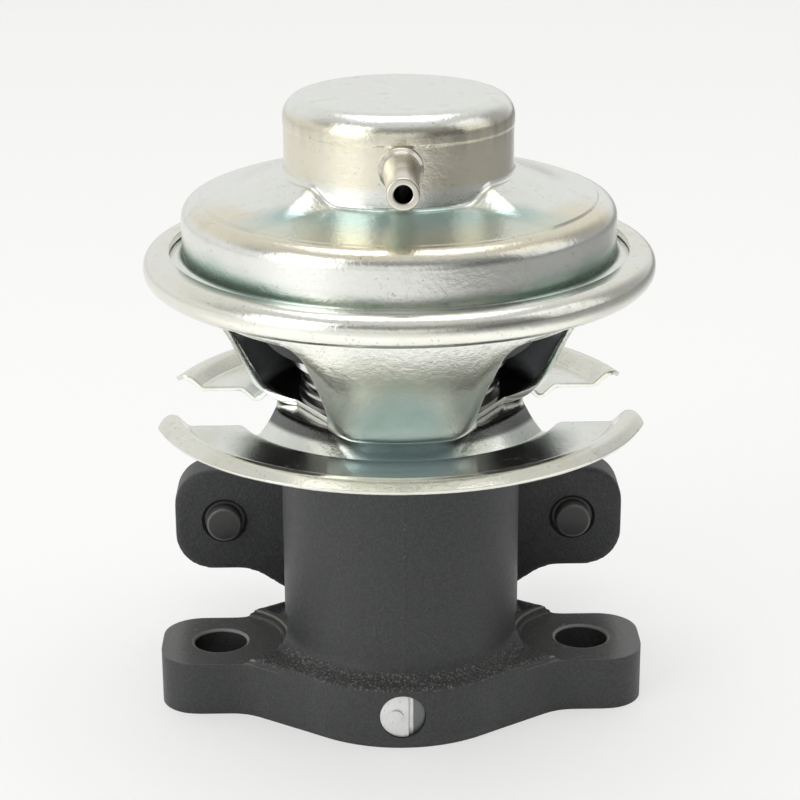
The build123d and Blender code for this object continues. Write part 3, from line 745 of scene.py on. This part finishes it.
def make_leg_sector(middle, leg_steps=72, window_steps=30):
    """Points and faces of one leg with half a window on each side of it."""
    sector = math.pi / leg_count

    def row(p, half, beside):
        turns = [half * (2 * i / leg_steps - 1) for i in range(leg_steps + 1)]
        if beside:
            more = [half + (sector - half) * i / window_steps for i in range(1, window_steps + 1)]
            turns = [-turn for turn in reversed(more)] + turns + more
        reaches = [case_reach(p.x, turn, p.y) for turn in turns]
        return [(r * math.cos(middle + turn), r * math.sin(middle + turn), p.y)
                for r, turn in zip(reaches, turns)]

    floor, leg, rim = case_section()
    foot_half, head_half = (leg_half_angle(p.x, p.y) for p in (leg[0], leg[-1]))
    grids = ([row(p, foot_half, True) for p in floor],
             [row(p, leg_half_angle(p.x, p.y), False) for p in leg],
             [row(p, head_half, True) for p in rim])
    return joined(*(([point for line in rows for point in line], grid_faces(len(rows), len(rows[0]), False))
                    for rows in grids))


def joined(*parts):
    """Points and faces of several (points, faces) pairs together."""
    points, faces = [], []
    for more_points, more_faces in parts:
        start = len(points)
        points += more_points
        faces += [tuple(start + i for i in face) for face in more_faces]
    return points, faces


def make_spring_case(finish):
    """Floor, three legs with softly curled edges and the rolled rim."""
    points, faces = joined(*(make_leg_sector(2 * math.pi * i / leg_count - math.pi / 2)
                             for i in range(leg_count)))
    case = piece("spring_case_skin", points, faces, finish, "housing")
    face_away(case, (0, 0, rim_bottom))
    thicken(case, sheet - 0.1)
    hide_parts("spring_case")
    return case


def face_away(obj, inside):
    """Turns an open sheet's normals away from a point inside it, judged by its lowest face."""
    mesh = obj.data
    low = min(mesh.polygons, key=lambda face: face.center.z)
    if low.normal.dot(low.center - Vector(inside) * MM) < 0:
        mesh.flip_normals()


# ---------------------------------------------------------------- heat shield
def notch_reach(radius, centre_y, half):
    """Angle from the X axis where a circle about (0, centre_y) meets a notch's edge on one half."""
    side_wall, bend, tip = notch_inner_x, notch_inner_bend, wing_tip_bend
    edge_y = notch_back if half > 0 else notch_front
    wall = abs(edge_y - centre_y)
    from_rim = abs(edge_y - shield_rim_y) + tip
    tip_centre = Vector((math.sqrt((shield_rim - tip) ** 2 - from_rim ** 2), wall + tip))
    if radius <= side_wall:
        return 0.0
    if radius < math.hypot(side_wall, wall - bend):
        return math.acos(side_wall / radius)
    if radius < math.hypot(side_wall + bend, wall):
        return circles_meet(radius, Vector((side_wall + bend, wall - bend)), bend)
    if radius < math.hypot(tip_centre.x, wall):
        return math.asin(wall / radius)
    return circles_meet(radius, tip_centre, tip, far=True)


def shield_row_y(radius):
    """Centre of a ring of the shield: the hub's inside the flat, the rim's outside it."""
    flat_start, flat_end = shield_line[2][0], shield_line[3][0]
    share = min(max((radius - flat_start) / (flat_end - flat_start), 0.0), 1.0)
    return shield_hub_y + (shield_rim_y - shield_hub_y) * share


def make_heat_shield(finish):
    """Front and back halves of the pressed dish, each from its notch's edges out to the rim."""
    under = hub_top - shield_sheet
    points = [(0, under), (shield_hub, under)] + [(r, under - drop) for r, drop in shield_line]
    points.append((shield_rim + shield_sheet, under - shield_rim_drop))
    bends = [1.5, 1.2, 1.0, 1.0, 1.4, 1.2]
    line = offset_line(rounded_line(points, bends, 5), shield_sheet)

    def height(radius):
        for a, b in zip(line, line[1:]):
            if a.x <= radius <= b.x:
                return a.y + (b.y - a.y) * (radius - a.x) / (b.x - a.x)
        return line[-1].y

    columns, least_step = 120, 0.06
    under_case = (guide_hole_radius + 5.0, 14.0, 16.0, 18.0, 19.5)
    parts = []
    for half, wall in ((-1, shield_hub_y - notch_front), (1, notch_back - shield_hub_y)):
        radii = {*under_case, notch_inner_x, shield_rim}
        radii |= {math.hypot(notch_inner_x, (wall - notch_inner_bend) * i / 5) for i in range(1, 6)}
        radii |= {notch_inner_x + (shield_rim - notch_inner_x) * i / 34 for i in range(1, 34)}
        radii |= {p.x for p in line if under_case[-1] - 0.5 < p.x < shield_rim - 0.05}
        radii |= {shield_rim - wing_tip_bend * (i / 8) ** 2 for i in range(1, 6)}
        rows, last = [], 0.0
        for radius in sorted(radii):
            if radius - last < least_step:
                continue
            last = radius
            centre_y = shield_row_y(radius)
            start = notch_reach(radius, centre_y, half)
            row = []
            for i in range(columns + 1):
                angle = half * (start + (math.pi - 2 * start) * i / columns)
                row.append((radius * math.cos(angle), centre_y + radius * math.sin(angle), height(radius)))
            rows.append(row)
        parts.append(([p for row in rows for p in row], grid_faces(len(rows), columns + 1, False)))
    points, faces = joined(*parts)
    shield = piece("heat_shield_skin", points, faces, finish, "housing")
    outward_up(shield)
    thicken(shield, shield_sheet, 0.12)
    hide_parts("heat_shield")
    return shield


# ---------------------------------------------------------------- turned and coiled pieces
def laid_forward(points, origin):
    """Points turned about +Z laid so that +Z points to the front, -Y."""
    return [(origin[0] + x, origin[1] - z, origin[2] + y) for x, y, z in points]


def make_vacuum_nipple(finish):
    """Tapered hose nipple with its collar seated on the dome."""
    bore, tip, root, collar = nipple_bore, 2.5, 2.95, 3.5
    reach = nipple_reach
    section = rounded_line(
        [(bore, -1.6), (root, -1.6), (root, -0.4), (collar, -0.4), (collar, 1.0), (root, 1.5),
         (root - 0.05, 2.6), (tip, reach - 7.0), (tip, reach), (bore, reach), (bore, -1.6)],
        [0, 0, 0, 0.3, 0.3, 0.5, 2.0, 0.35, 0.3], 5)[:-1]
    points, faces = spun(section, 72)
    points = laid_forward(points, (0, -dome_radius, nipple_z))
    nipple = piece("vacuum_nipple_tube", points, faces, finish, "housing")
    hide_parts("vacuum_nipple")
    return nipple


def make_stud(side, finish):
    """Stud through the outlet flange: plain point at the front, thread behind."""
    pitch, depth, radius, root = 1.25, 0.62, 4.0, stud_seat
    reach, point_radius, point_end = 20.0, 3.1, outlet_flange + 2.1
    columns, per_pitch = 48, 8
    rows = []
    thread_rows = int((reach + 0.5) / pitch * per_pitch)
    for i in range(thread_rows + 1):
        z = -reach + 0.9 + (reach - 0.4) * i / thread_rows
        fade = min(1.0, (z + reach - 0.9) / 1.0, max(0.0, (-0.6 - z) / 0.8))
        row = []
        for j in range(columns):
            phase = (z / pitch + j / columns) % 1.0
            cut = min(1.0, max(0.0, (abs(phase - 0.5) * 2 - 0.12) / 0.76))
            row.append((radius - depth * (1 - cut) * max(fade, 0.0), z, j))
        rows.append(row)
    plain = ([(0.01, -reach), (radius - 0.8, -reach), (radius - 0.05, -reach + 0.75)],
             [(root, 0.6), (root, outlet_flange - 0.5), (point_radius, outlet_flange - 0.45)]
             + rounded_line([(point_radius, outlet_flange - 0.4), (point_radius, point_end),
                             (0.01, point_end)], [0.45], 5))
    whole = [[(r, z, j) for j in range(columns)] for r, z in plain[0]] + rows
    whole += [[(p[0], p[1], j) for j in range(columns)] for p in plain[1]]
    points = [(r * math.cos(2 * math.pi * j / columns), r * math.sin(2 * math.pi * j / columns), z)
              for row in whole for r, z, j in row]
    faces = grid_faces(len(whole), columns, True)
    points = laid_forward(points, (side * bolt_x, outlet_y, port_z))
    name = "left_stud" if side < 0 else "right_stud"
    stud = piece(name + "_threaded", points, faces, finish, "housing", 40)
    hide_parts(name)
    return stud


def prism(outline, low, high):
    """Points and faces of an outline (x, y) raised from low to high."""
    count = len(outline)
    points = [(p[0], p[1], low) for p in outline] + [(p[0], p[1], high) for p in outline]
    faces = [tuple(range(count))[::-1], tuple(range(count, 2 * count))]
    faces += [(i, (i + 1) % count, count + (i + 1) % count, count + i) for i in range(count)]
    return points, faces


def arc(radius, start, end, steps, centre=(0.0, 0.0)):
    """Points of an arc; angles in degrees."""
    angles = (math.radians(start + (end - start) * i / steps) for i in range(steps + 1))
    return [(centre[0] + radius * math.cos(a), centre[1] + radius * math.sin(a)) for a in angles]


def make_passage_plug(finish):
    """Round plug with one side struck back and a small pip left standing."""
    radius, step_x, step_depth, depth = 3.75, 1.0, 0.45, 3.0
    pip_x, pip_radius, pip_height = -1.15, 1.25, 0.45
    turn = math.degrees(math.acos(step_x / radius))
    plain_side = prism(arc(radius, turn, 360 - turn, 60), -depth, 0.0)
    struck_side = prism(arc(radius, -turn, turn, 30), -depth, -step_depth)
    pip = prism(arc(pip_radius, 0, 351, 39, (pip_x, 0.0)), -0.2, pip_height)
    points, faces = joined(plain_side, struck_side, pip)
    points = laid_forward(points, (plug_middle.x, -bulge_radius, plug_middle.z))
    plug = piece("passage_plug_face", points, faces, finish, "housing")
    broken = plug.modifiers.new("edges", "BEVEL")
    broken.width, broken.segments = 0.14 * MM, 2
    broken.limit_method = "ANGLE"
    settle(plug)
    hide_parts("passage_plug")
    return plug


def make_coil(name, node, finish, wire, closed_turns, turns):
    """Round-wire compression spring whose end turns lie closer together."""
    low, high = span(node)
    radius = high.x - wire
    bottom, top = low.z + wire, high.z - wire
    steps, sides = int(turns * 48), 14
    heights, level = [], 0.0
    for i in range(steps + 1):
        turn = turns * i / steps
        heights.append(level)
        open_share = min(1.0, turn / closed_turns, (turns - turn) / closed_turns)
        level += 0.35 + 0.65 * open_share
    heights = [bottom + (top - bottom) * h / heights[-1] for h in heights]
    points, faces = [], []
    for i, z in enumerate(heights):
        turn = 2 * math.pi * turns * i / steps
        for j in range(sides):
            angle = 2 * math.pi * j / sides
            out = radius + wire * math.cos(angle)
            points.append((out * math.cos(turn), out * math.sin(turn), z + wire * math.sin(angle)))
    faces = grid_faces(steps + 1, sides, True)
    faces += [tuple(range(sides))[::-1], tuple(range(steps * sides, (steps + 1) * sides))]
    coil = piece(name, points, faces, finish, None, 60)
    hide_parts(node)
    return coil


def make_springs(finish):
    main = make_coil("return_spring_wire", "return_spring", finish, 1.1, 1.0, 6.5)
    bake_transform(main)
    balance = make_coil("balance_spring_wire", "balance_spring", finish, 0.55, 0.7, 4.0)
    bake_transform(balance)


def make_diaphragm(finish):
    """Rubber disc between the plates, up the slope to its bead under the cover's foot."""
    thickness, hole, bead = 0.9, 3.1, 3.0
    bottom, bead_top = rubber_low.z, rubber_high.z
    bead_low, outer = rim_bottom + sheet, rubber_high.x
    middle = (bead_low + bead_top) / 2
    slope_end = case_top_radius - sheet - 1.3
    under = rounded_line([(hole, bottom), (21.4, bottom), (slope_end, middle - thickness),
                          (outer - bead, middle - thickness / 2)], [3.0, 1.6], 8)
    over = offset_line(under, thickness)
    section = under + [(outer - bead, bead_low), (outer, bead_low), (outer, bead_top),
                       (outer - bead, bead_top)] + over[::-1]
    points, faces = spun([Vector(p) for p in section], 120)
    rubber = piece("diaphragm_sheet", points, faces, finish, None)
    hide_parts("diaphragm")
    (middle - thickness) * MM
    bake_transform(rubber)
    return rubber


def make_lower_plate(finish):
    """Shallow cap under the diaphragm with its skirt turned down."""
    thickness, hole = 1.2, 3.05
    foot, top, outer = plate_low.z, plate_high.z, plate_high.x
    section = rounded_line(
        [(hole, top - thickness), (outer - thickness, top - thickness), (outer - thickness, foot),
         (outer, foot), (outer, top), (hole, top), (hole, top - thickness)],
        [0.5, 0.25, 0.3, 1.3, 0], 6)[:-1]
    points, faces = spun(section, 120)
    plate = piece("lower_plate_cap", points, faces, finish, "valve")
    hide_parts("lower_plate")
    return plate


# ---------------------------------------------------------------- cast body
def flange_line(reach):
    """Outline of a two-bolt flange whose ears end at reach, anticlockwise."""
    touch = Vector((math.sin(waist_slope), math.cos(waist_slope))) * bulge_radius
    half_ear = ear_width / 2
    waist_x = touch.x + (touch.y - half_ear) / math.tan(waist_slope)
    quarter = rounded_line([(reach, 0), (reach, half_ear), (waist_x, half_ear), touch],
                           [ear_corner, waist_bend], 10)
    first = math.degrees(math.atan2(touch.y, touch.x))
    quarter += [Vector(p) for p in arc(bulge_radius, first, 90, 14)[1:]]
    half = quarter[:-1] + [Vector((-p.x, p.y)) for p in reversed(quarter)]
    return half[:-1] + [-p for p in half[:-1]]


def rooted_post(radius, foot, low, top, chamfer=0.3):
    """Solid round post whose foot spreads in a concave root, with a chamfered top edge."""
    section = rounded_line([(0, low), (radius + 2 * neck_root, low), (radius + 2 * neck_root, foot),
                            (radius, foot), (radius, top - chamfer), (radius - chamfer, top), (0, top)],
                           [0, 0, neck_root, 0.2, 0.2], 8)
    widest = radius + neck_root
    return spun([p if p.x <= widest else Vector((widest, p.y)) for p in section], 160)


def laid_back(points):
    """Upright flange points laid back so that their foot faces the outlet, +Y."""
    return [(x, outlet_y - z, port_z + y) for x, y, z in points]


def make_valve_body(finish):
    """Cast as one rough solid, then faced and bored."""
    over = 1.0                    # metal left for the machined faces
    base = prism(flange_line(ear_reach), -over, base_thickness)
    neck = rooted_post(neck_radius, base_thickness, 1.0, body_top + over, neck_top_chamfer + over)
    outlet, outlet_faces = prism(flange_line(outlet_ear_reach), -over, outlet_flange)
    branch, branch_faces = rooted_post(port_boss, outlet_flange, 1.0, outlet_y)
    points, faces = joined(base, neck, (laid_back(outlet), outlet_faces), (laid_back(branch), branch_faces))
    body = piece("valve_body_casting", points, faces, finish, "housing")
    cast = body.modifiers.new("cast", "REMESH")
    cast.mode, cast.voxel_size = "VOXEL", 0.55 * MM
    softened = body.modifiers.new("softened", "SMOOTH")
    softened.factor, softened.iterations = 0.5, 5
    settle(body)
    for place, normal in (((0, 0, 0), (0, 0, -1)), ((0, 0, body_top), (0, 0, 1)),
                          ((0, outlet_y, 0), (0, 1, 0))):
        face_off(body, place, normal)
    for cutters in machining():
        cut(body, cutters)
    smooth_by_angle(body, 32)
    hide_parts("valve_body")
    return body


def face_off(obj, place, normal):
    """Machines a casting flat at a plane."""
    work = bmesh.new()
    work.from_mesh(obj.data)
    result = bmesh.ops.bisect_plane(
        work, geom=work.verts[:] + work.edges[:] + work.faces[:], dist=0.001 * MM,
        plane_co=Vector(place) * MM, plane_no=normal, clear_outer=True)
    rim = [e for e in result["geom_cut"] if isinstance(e, bmesh.types.BMEdge)]
    bmesh.ops.contextual_create(work, geom=rim)
    bmesh.ops.recalc_face_normals(work, faces=work.faces)
    work.to_mesh(obj.data)
    work.free()


def machining():
    """Groups of cutters: ear faces, the rippled banks behind them, holes with the inlet, the outlet."""
    top = base_thickness + 5.0
    face_radius, bank_height, bank_width, ridges, ridge = 10.4, 1.7, 1.7, 3, 0.12
    bank = [(0, spot_face_z + 0.02), (face_radius, spot_face_z + 0.02)]
    for i in range(ridges * 8 + 1):
        share = i / (ridges * 8)
        ripple = ridge * math.sin(2 * math.pi * ridges * share)
        bank.append((face_radius + 0.1 + bank_width * share + ripple,
                     spot_face_z + 0.04 + bank_height * share))
    bank += [(bank[-1][0] + 0.6, top), (0, top)]
    ear_faces, ear_banks, holes = [], [], []
    for side in (-1, 1):
        start = 90 if side > 0 else -90
        edge = arc(face_radius, start, start + 180, 48, (side * bolt_x, 0))
        away = side * (ear_reach + 5)
        reach = ear_width
        ear_faces.append(prism(edge + [(side * bolt_x, -side * reach), (away, -side * reach),
                                       (away, side * reach), (side * bolt_x, side * reach)],
                               spot_face_z, top))
        bowl, bowl_faces = spun(bank, 96)
        ear_banks.append(([(x + side * bolt_x, y, z) for x, y, z in bowl], bowl_faces))
        hole, hole_faces = spun([(0, -2), (bolt_hole, -2), (bolt_hole, spot_face_z - 0.3),
                                 (bolt_hole + 0.4, spot_face_z + 0.1), (0, spot_face_z + 0.1)], 96)
        holes.append(([(x + side * bolt_x, y, z) for x, y, z in hole], hole_faces))
        stud_hole, stud_faces = spun([(0, 0.3), (stud_seat, 0.3), (stud_seat, outlet_flange - 0.55),
                                      (4.3, outlet_flange + 0.2), (0, outlet_flange + 0.2)], 72)
        holes.append((laid_back([(x + side * bolt_x, y, z) for x, y, z in stud_hole]), stud_faces))
    plug_hole, plug_faces = spun([(0, -2.9), (3.8, -2.9), (3.8, 1.0), (0, 1.0)], 72)
    holes.append((laid_forward(plug_hole, (plug_middle.x, -bulge_radius, plug_middle.z)), plug_faces))
    seat_bore, guide_bore, port_throat = 15.2, 7.0, 11.0
    gas_way = spun([(0, -2), (inlet_bore, -2), (inlet_bore, 8.0), (seat_bore, 8.8), (seat_bore, 12.0),
                    (chamber[0], 12.0), (chamber[0], chamber[1] - 3.0), (guide_bore, chamber[1]),
                    (guide_bore, body_top + 2), (0, body_top + 2)], 128)
    outlet, outlet_faces = spun([(0, -2), (port_bore, -2), (port_bore, 11.0), (port_throat, 12.0),
                                 (port_throat, 24.0), (0, 24.0)], 128)
    return [ear_faces, ear_banks, holes + [gas_way], [(laid_back(outlet), outlet_faces)]]


def cut(obj, cutters):
    """Takes closed cutters that don't touch each other out of a piece."""
    points, faces = joined(*cutters)
    mesh = bpy.data.meshes.new("cutter")
    mesh.from_pydata([Vector(p) * MM for p in points], [], faces)
    work = bmesh.new()
    work.from_mesh(mesh)
    bmesh.ops.remove_doubles(work, verts=work.verts, dist=0.002 * MM)
    bmesh.ops.dissolve_degenerate(work, edges=work.edges, dist=0.001 * MM)
    bmesh.ops.recalc_face_normals(work, faces=work.faces)
    work.to_mesh(mesh)
    work.free()
    tool = bpy.data.objects.new("cutter", mesh)
    bpy.context.collection.objects.link(tool)
    boolean = obj.modifiers.new("cut", "BOOLEAN")
    boolean.operation, boolean.solver, boolean.object = "DIFFERENCE", "EXACT", tool
    settle(obj)
    bpy.data.objects.remove(tool)


# ---------------------------------------------------------------- the whole valve
make_upper_cover(zinc_plate("cover_zinc", cover_tints, relief=0.09))
make_spring_case(zinc_plate("case_zinc", case_tints, relief=0.07))
make_heat_shield(zinc_plate("shield_zinc", shield_tints, 0.14))
make_vacuum_nipple(turned_tube("nipple_steel"))
stud_finish = blackened_steel("stud_black")
for stud_side in (-1, 1):
    make_stud(stud_side, stud_finish)
make_passage_plug(bright_plug_metal("plug_steel"))
make_springs(dark_spring_steel("spring_wire"))
make_diaphragm(diaphragm_rubber("diaphragm_rubber"))
make_lower_plate(zinc_plate("plate_zinc", plain_tints))
make_valve_body(cast_iron("cast_black"))

inner_steel = inner_metal("inner_steel")
kept_finishes = {
    "insulator": fibre_gasket("gasket_fibre"),
    "stem_guide": inner_metal("guide_bronze", (0.50, 0.36, 0.18)),
    "stem_seal": diaphragm_rubber("seal_rubber"),
    "seal_cap": inner_steel, "spring_ring": inner_steel, "case_screws": inner_steel,
    "valve_seat": inner_steel, "valve_head": inner_steel, "valve_stem": inner_steel,
    "upper_plate": inner_steel, "plate_washer": inner_steel, "stem_nut": inner_steel,
}
for node, finish in kept_finishes.items():
    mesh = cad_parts[node].data
    mesh.materials.clear()
    mesh.materials.append(finish)


# ---------------------------------------------------------------- studio
def make_floor():
    """Pale paper; in the metal it looks brighter just in front and darker to the right."""
    finish = Finish("studio_floor")
    x, y, _ = finish.axes()
    paper = finish.noise(1.2, 3.0, stretch=(1, 0.12, 1))
    path = finish.add("ShaderNodeLightPath")
    seen = path["Is Camera Ray"]
    mirrored = path["Is Glossy Ray"]
    near = (1 - (y + 30).ramp(0, 60)) * y.ramp(-260, -150) * (1 - abs(x).ramp(120, 260))
    shown = (seen + mirrored * (0.2 + near * 0.6) * (1 - x.ramp(60, 260))).math("MINIMUM", 1.0)
    tone = finish.mix(paper, (0.90, 0.90, 0.895), (0.93, 0.93, 0.925))
    tone = finish.mix(seen * 0.5 + mirrored * x.ramp(60, 300) * 0.6, tone, (0, 0, 0))
    glow = finish.mix(shown, (0, 0, 0), (1, 1, 0.99))
    material = finish.surface(Base_Color=tone, Roughness=0.75, Normal=finish.bump(paper, 0.05, 0.3),
                              Emission_Color=glow, Emission_Strength=0.52)
    size = 3000.0
    corners = [(-size, -size, -0.02), (size, -size, -0.02), (size, size, -0.02), (-size, size, -0.02)]
    mesh = bpy.data.meshes.new("studio_floor")
    mesh.from_pydata([Vector(p) * MM for p in corners], [], [(0, 1, 2, 3)])
    mesh.materials.append(material)
    floor = bpy.data.objects.new("studio_floor", mesh)
    bpy.context.collection.objects.link(floor)


def soft_light(name, place, aim, size, power, colour=(1, 1, 1)):
    light = bpy.data.lights.new(name, "AREA")
    light.shape, light.size, light.size_y = "RECTANGLE", size[0] * MM, size[1] * MM
    light.energy, light.color = power, colour
    lamp = bpy.data.objects.new(name, light)
    lamp.location = Vector(place) * MM
    lamp.rotation_euler = (Vector(aim) - Vector(place)).to_track_quat("-Z", "Y").to_euler()
    bpy.context.collection.objects.link(lamp)


def make_world():
    """Studio walls as the metal sees them: pale behind and in front on the left, dark on the right."""
    world = bpy.data.worlds.new("studio_world")
    world.use_nodes = True
    bpy.context.scene.world = world
    sky = Graph(world.node_tree)
    x, y, z = sky.split(sky.add("ShaderNodeTexCoord")["Generated"])
    front = sky.mix(x.ramp(0.1, 0.6), (0.85, 0.85, 0.84), (0.12, 0.12, 0.12))
    front = sky.mix(z.ramp(0.2, 0.45), front, (0.26, 0.26, 0.25))
    back = sky.mix(x.ramp(0.4, 0.8), (0.84, 0.845, 0.84), (0.40, 0.40, 0.40))
    walls = sky.mix(y.ramp(-0.4, 0.5), front, back)
    tone = sky.mix(z.ramp(0.5, 0.9), walls, (0.72, 0.72, 0.72))
    background = sky.add("ShaderNodeBackground", {}, {"Color": tone, "Strength": 1.0})
    sky.add("ShaderNodeOutputWorld", {}, {"Surface": background["Background"]})


def make_camera():
    stand_off, pitch, turn, roll = 375.76, math.radians(19.166), math.radians(1.03), math.radians(-0.29)
    target = Vector((0, 0, 52.69))
    away = Vector((-math.cos(pitch) * math.sin(turn), -math.cos(pitch) * math.cos(turn), math.sin(pitch)))
    data = bpy.data.cameras.new("camera")
    data.lens, data.sensor_width = 101.85, 36.0
    data.clip_start, data.clip_end = 0.01, 20.0
    camera = bpy.data.objects.new("camera", data)
    camera.location = (target + away * stand_off) * MM
    level = (-away).to_track_quat("-Z", "Y")
    camera.rotation_euler = (level @ Quaternion((0, 0, 1), roll)).to_euler()
    bpy.context.collection.objects.link(camera)
    bpy.context.scene.camera = camera


make_floor()
make_world()
soft_light("left_light", (-520, -420, 330), (0, 0, 60), (420, 620), 1.5)
soft_light("right_light", (640, -100, 380), (0, 0, 60), (420, 560), 0.55)
soft_light("top_light", (0, 120, 900), (0, 0, 60), (700, 500), 1.6)
make_camera()
bpy.context.scene.view_settings.view_transform = "Standard"
